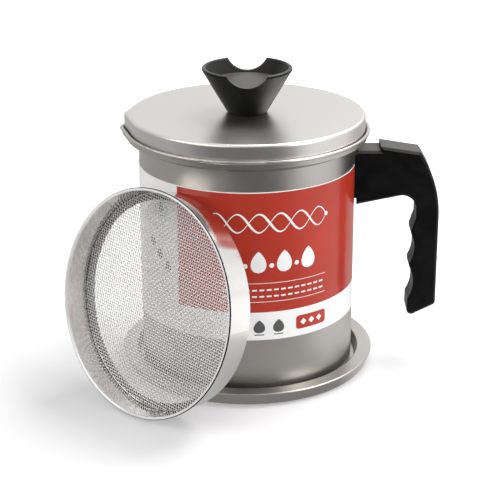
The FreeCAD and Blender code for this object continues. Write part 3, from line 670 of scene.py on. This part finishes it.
class Wrap:
    """Flat print laid on the sleeve: places are millimetres along the arc and in height."""

    PART = 1.5

    def __init__(self):
        self.radius = -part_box("label_sleeve")[0].x + print_height()
        self.corners = []
        self.faces = []

    def put(self, along, up):
        """A point at a distance along the arc from the front and a height, both in mm."""
        turn = along * MM / self.radius - math.pi / 2
        self.corners.append((self.radius * math.cos(turn), self.radius * math.sin(turn), up * MM))
        return len(self.corners) - 1

    def strip(self, sides):
        """Join pairs of points into a band, each pair split across so that it follows the arc."""
        widest = max(abs(right - left) for (left, low), (right, high) in sides)
        parts = max(1, int(widest / self.PART))
        rows = []
        for (left, low), (right, high) in sides:
            rows.append([self.put(left + (right - left) * step / parts,
                                  low + (high - low) * step / parts) for step in range(parts + 1)])
        for lower, upper in zip(rows, rows[1:]):
            for step in range(parts):
                self.faces.append((lower[step], lower[step + 1], upper[step + 1], upper[step]))

    def line(self, points, widths):
        """A ribbon along points, as wide at each as widths say."""
        rows = []
        for index, (along, up) in enumerate(points):
            ahead = points[min(index + 1, len(points) - 1)]
            behind = points[max(index - 1, 0)]
            run = math.hypot(ahead[0] - behind[0], ahead[1] - behind[1])
            across = -(ahead[1] - behind[1]) / run * widths[index] / 2
            rise = (ahead[0] - behind[0]) / run * widths[index] / 2
            rows.append(((along - across, up - rise), (along + across, up + rise)))
        self.strip(rows)

    def blob(self, along, up, outline, steps=24):
        """A filled shape: outline gives half its width at each height from -1 to 1."""
        rows = []
        for step in range(steps + 1):
            level = -1 + 2 * step / steps
            half, height = outline(level)
            rows.append(((along - half, up + height), (along + half, up + height)))
        self.strip(rows)

    def box(self, left, right, low, high):
        """A filled rectangle."""
        self.strip((((left, low), (right, low)), ((left, high), (right, high))))

    def build(self, name, material):
        """Make the piece from all that was laid down."""
        return new_piece(name, self.corners, self.faces, "pot", material)


def ribbon_wave(wrap, left, right, middle, swing, turns, shift, thin, thick):
    """A calligraphic wave, thick where it falls and thin where it rises."""
    points = []
    widths = []
    for step in range(WAVE_STEPS + 1):
        part = step / WAVE_STEPS
        phase = 2 * math.pi * turns * part + shift
        points.append((left + (right - left) * part, middle + swing * math.sin(phase)))
        fall = 0.5 - 0.5 * math.cos(phase)
        widths.append(thin + (thick - thin) * fall * math.sin(math.pi * part) ** 0.5)
    wrap.line(points, widths)


def drop(width, height):
    """Half width and height of a drop with its tip up."""
    def outline(level):
        part = (level + 1) / 2
        belly = math.sqrt(max(0.0, 1 - (2 * part - 1) ** 2))
        return width / 2 * belly * (1 - part) ** 0.35 * 1.35, height * level / 2
    return outline


def disc(radius):
    """Half width and height of a round dot."""
    def outline(level):
        return radius * math.sqrt(max(0.0, 1 - level * level)), radius * level
    return outline


def diamond(size):
    """Half width and height of a square on its corner."""
    def outline(level):
        return size * (1 - abs(level)), size * level
    return outline


class OILPOT_OT_label(bpy.types.Operator):
    """Print the sleeve: a red field, a white band, waves, drops and rules"""
    bl_idname = "oilpot.label"
    bl_label = "Label"

    def execute(self, context):
        look = context.scene.oil_pot_label
        dress("label_sleeve", sleeve_material())
        self.print_on_field(print_colour("white_print", tuple(look.paper)))
        self.print_on_band(print_colour("grey_print", tuple(look.ink)))
        self.print_tab(print_colour("red_print", tuple(look.field)))
        self.print_left(print_colour("green_print", tuple(look.leaf)))
        return {"FINISHED"}

    def print_on_field(self, material):
        """Two crossed waves, a row of drops, rules with dashes and the tab's diamonds."""
        wrap = Wrap()
        for shift in (0.0, math.pi):
            ribbon_wave(wrap, -22, 46, middle=99.0, swing=5.0, turns=3.0, shift=shift,
                        thin=0.35, thick=1.3)
        for along in (-8, 6, 20, 34):
            wrap.blob(along, 77.5, drop(7.5, 12.0))
        for along in (-1, 13, 27):
            wrap.blob(along, 75.5, disc(1.3))
        for level in (55.0, 65.5):
            wrap.box(-16, 46, level, level + 0.3)
        for row in (58.2, 61.8):
            for index in range(15):
                start = -13 + index * 3.9
                wrap.box(start, start + 2.6, row - 0.45, row + 0.45)
        for along in (-22, 46):
            wrap.blob(along, 99.0, disc(1.2))
        for index in range(3):
            wrap.blob(31.5 + index * 5.2, 41.0, diamond(1.9))
        wrap.build("label_white_print", material)

    def print_on_band(self, material):
        """Grey drops on the white band and on the left, and rows of dashes at the back."""
        wrap = Wrap()
        for index in range(3):
            centre = -4.0 + index * 10.5
            wrap.blob(centre, 41.0, drop(5.6, 7.4))
            wrap.box(centre - 2.6, centre + 2.6, 36.0, 36.6)
        for index in range(3):
            wrap.blob(-60.0 + index * 6.5, 80.0 - index * 5.5, drop(4.4, 6.2))
        for row in range(9):
            for index in range(12 - row % 3):
                start = 112.0 + index * 8.2
                wrap.box(start, start + 6.4, 94.0 - row * 5.0, 95.2 - row * 5.0)
        wrap.build("label_grey_print", material)

    def print_tab(self, material):
        """The round-cornered red tab under the diamonds, and the red strip at the back."""
        wrap = Wrap()
        wrap.radius -= print_height() / 2
        bend = 1.6
        rows = []
        for step in range(13):
            level = -1 + step / 6
            inset = bend * (1 - math.sqrt(max(0.0, 1 - abs(level) ** 6)))
            rows.append(((27.0 + inset, 41.0 + 3.9 * level), (46.5 - inset, 41.0 + 3.9 * level)))
        wrap.strip(rows)
        wrap.box(105, 215, 104, 108)
        wrap.build("label_red_tab", material)

    def print_left(self, material):
        """A green drop in a ring, left of the field."""
        wrap = Wrap()
        ring = [(-52 + 5.0 * math.cos(turn * math.pi / 24), 101 + 5.0 * math.sin(turn * math.pi / 24))
                for turn in range(49)]
        wrap.line(ring, [0.6] * len(ring))
        wrap.blob(-52, 101, drop(4.2, 6.4))
        wrap.build("label_green_print", material)


def node_corners(node):
    """The corners of a node of the frame, as rows of numbers."""
    return np.array([vertex.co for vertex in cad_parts[node].data.vertices])


def strainer_axes():
    """The middle of the strainer's mesh, its three axes and the mesh's radius."""
    look = bpy.context.scene.oil_pot_strainer
    facing = Vector((math.cos(look.heading), math.sin(look.heading), 0.0))
    across = Vector((-facing.y, facing.x, 0.0))
    normal = facing * math.cos(look.tilt) + Vector((0.0, 0.0, math.sin(look.tilt)))
    upward = normal.cross(across)
    corners = node_corners("strainer_mesh")

    def middle(axis):
        reach = corners @ np.array(axis)
        return (reach.min() + reach.max()) / 2, (reach.max() - reach.min()) / 2

    centre = across * middle(across)[0] + upward * middle(upward)[0] + normal * middle(normal)[0]
    return centre, across, upward, normal, middle(across)[1]


class OILPOT_OT_strainer(bpy.types.Operator):
    """Polish the strainer's ring and weave its wire mesh"""
    bl_idname = "oilpot.strainer"
    bl_label = "Strainer"

    def execute(self, context):
        tone = context.scene.oil_pot_steel
        polished = steel("polished_ring_steel", tone.ring, tone.ring_roughness, streak_scale=260.0,
                         streak_depth=0.000001, cloudiness=0.08, streakiness=0.2, wear=0.2)
        centre, across, upward, normal, reach = strainer_axes()
        # Painted highlight on the rolled bead above this level
        level = (node_corners("strainer_frame") @ np.array(normal)).max() - BEAD_HEIGHT
        paint_bead_highlight(polished, tone.bead, normal, level)
        # Painted shade on the shelf under the mesh
        paint_shelf_shade(polished, tone.shelf, centre, normal, reach)
        dress("strainer_frame", polished)
        self.curl(tone)
        wire = steel("woven_wire_steel", tone.mesh, 0.27)
        wire.node_tree.nodes["Principled BSDF"].inputs["Metallic"].default_value = 0.55
        self.weave(context.scene.oil_pot_strainer, wire)
        return {"FINISHED"}

    def curl(self, tone):
        """A painted shadow: the dark line along the outside of the rim's bead, where the sheet curls
        under.
        """
        centre, across, upward, normal, reach = strainer_axes()
        across, upward, normal = np.array(across), np.array(upward), np.array(normal)
        corners = node_corners("strainer_frame")
        middle = np.array(centre)
        middle = middle + normal * ((corners @ normal).max() - middle @ normal)
        outer = (corners @ across).max() - middle @ across
        points = []
        faces = []
        for step in range(CURL_TURNS):
            turn = 2 * math.pi * step / CURL_TURNS
            spoke = across * math.cos(turn) + upward * math.sin(turn)
            for row in range(CURL_ROWS):
                slope = CURL_LOW + (CURL_HIGH - CURL_LOW) * row / (CURL_ROWS - 1)
                radius = outer - BEAD_ROUND + (BEAD_ROUND + CURL_LIFT) * math.cos(slope)
                level = -BEAD_ROUND + (BEAD_ROUND + CURL_LIFT) * math.sin(slope)
                points.append(middle + spoke * radius + normal * level)
            first = CURL_ROWS * step
            after = CURL_ROWS * ((step + 1) % CURL_TURNS)
            for row in range(CURL_ROWS - 1):
                faces.append((first + row, after + row, after + row + 1, first + row + 1))
        # Painted shadow, in the bracket's black tone
        dark = steel("curl_shadow_steel", tone.bracket, 0.4)
        new_piece("rim_curl_shadow", points, faces, "strainer", dark)

    def weave(self, look, material):
        """Lay one set of wires along the weave and one set across it."""
        centre, across, upward, normal, reach = strainer_axes()
        first = across * math.cos(look.weave_turn) + upward * math.sin(look.weave_turn)
        second = upward * math.cos(look.weave_turn) - across * math.sin(look.weave_turn)
        for name, run, side, phase in (
                ("woven_warp", first, second, 0), ("woven_weft", second, first, 1)):
            cloth = Cloth(np.array(centre), np.array(run), np.array(side), np.array(normal))
            count = int(reach / look.mesh_pitch)
            for wire in range(-count, count + 1):
                offset = wire * look.mesh_pitch
                half = math.sqrt(reach ** 2 - offset ** 2)
                cloth.lay_wire(look, offset, half, wire + phase)
            piece = new_piece(name, cloth.corners, cloth.faces, "strainer", material)
            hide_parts("strainer_mesh")


class Cloth:
    """Wires that run one way, each rising over and under the wires that cross it."""

    SIDES = 6
    STEPS = 2

    def __init__(self, centre, run, side, out):
        self.centre = centre
        self.run = run
        self.side = side
        self.out = out
        self.corners = []
        self.faces = []

    def lay_wire(self, look, offset, half, parity):
        """One wire, with a ring of corners at each crossing and between crossings."""
        last = int(half / look.mesh_pitch) * self.STEPS
        places = [step * look.mesh_pitch / self.STEPS for step in range(-last, last + 1)]
        rings = [(-half, 0.0)]
        for place in places:
            turn = math.pi * place / look.mesh_pitch
            rings.append((place, look.wave * math.cos(turn + math.pi * parity)))
        rings.append((half, 0.0))
        first = len(self.corners)
        for place, lift in rings:
            middle = self.centre + self.run * place + self.side * offset + self.out * lift
            for step in range(self.SIDES):
                turn = 2 * math.pi * step / self.SIDES
                lean = self.side * math.cos(turn) + self.out * math.sin(turn)
                self.corners.append(middle + look.wire_radius * lean)
        for ring in range(len(rings) - 1):
            low = first + self.SIDES * ring
            for step in range(self.SIDES):
                after = (step + 1) % self.SIDES
                self.faces.append((low + step, low + after,
                                   low + self.SIDES + after, low + self.SIDES + step))
        end = first + self.SIDES * (len(rings) - 1)
        self.faces.append(tuple(first + step for step in reversed(range(self.SIDES))))
        self.faces.append(tuple(end + step for step in range(self.SIDES)))


class VIEW3D_PT_oil_pot(bpy.types.Panel):
    """Buttons and sizes of the oil pot"""
    bl_label = "Oil pot"
    bl_space_type = "VIEW_3D"
    bl_region_type = "UI"
    bl_category = "Oil pot"

    def draw(self, context):
        for operator in OPERATORS:
            self.layout.operator(operator.bl_idname)
        for name in SETTINGS:
            group = getattr(context.scene, name)
            box = self.layout.box()
            for item in group.bl_rna.properties:
                if not item.is_readonly and item.identifier != "name":
                    box.prop(group, item.identifier)


OPERATORS = (
    OILPOT_OT_camera,
    OILPOT_OT_stage,
    OILPOT_OT_pot,
    OILPOT_OT_lid,
    OILPOT_OT_phenolic,
    OILPOT_OT_label,
    OILPOT_OT_strainer,
)


def register():
    """Add the settings, the operators and the panel."""
    for settings in SETTINGS.values():
        bpy.utils.register_class(settings)
    for name, settings in SETTINGS.items():
        setattr(bpy.types.Scene, name, PointerProperty(type=settings))
    for operator in OPERATORS:
        bpy.utils.register_class(operator)
    bpy.utils.register_class(VIEW3D_PT_oil_pot)


def unregister():
    """Take away what register added."""
    bpy.utils.unregister_class(VIEW3D_PT_oil_pot)
    for operator in reversed(OPERATORS):
        bpy.utils.unregister_class(operator)
    for name in SETTINGS:
        delattr(bpy.types.Scene, name)
    for settings in SETTINGS.values():
        bpy.utils.unregister_class(settings)


def main():
    """Build every piece in order."""
    register()
    bpy.ops.oilpot.camera()
    bpy.ops.oilpot.stage()
    bpy.ops.oilpot.pot()
    bpy.ops.oilpot.lid()
    bpy.ops.oilpot.phenolic()
    bpy.ops.oilpot.label()
    bpy.ops.oilpot.strainer()


if __name__ == "__main__":
    main()
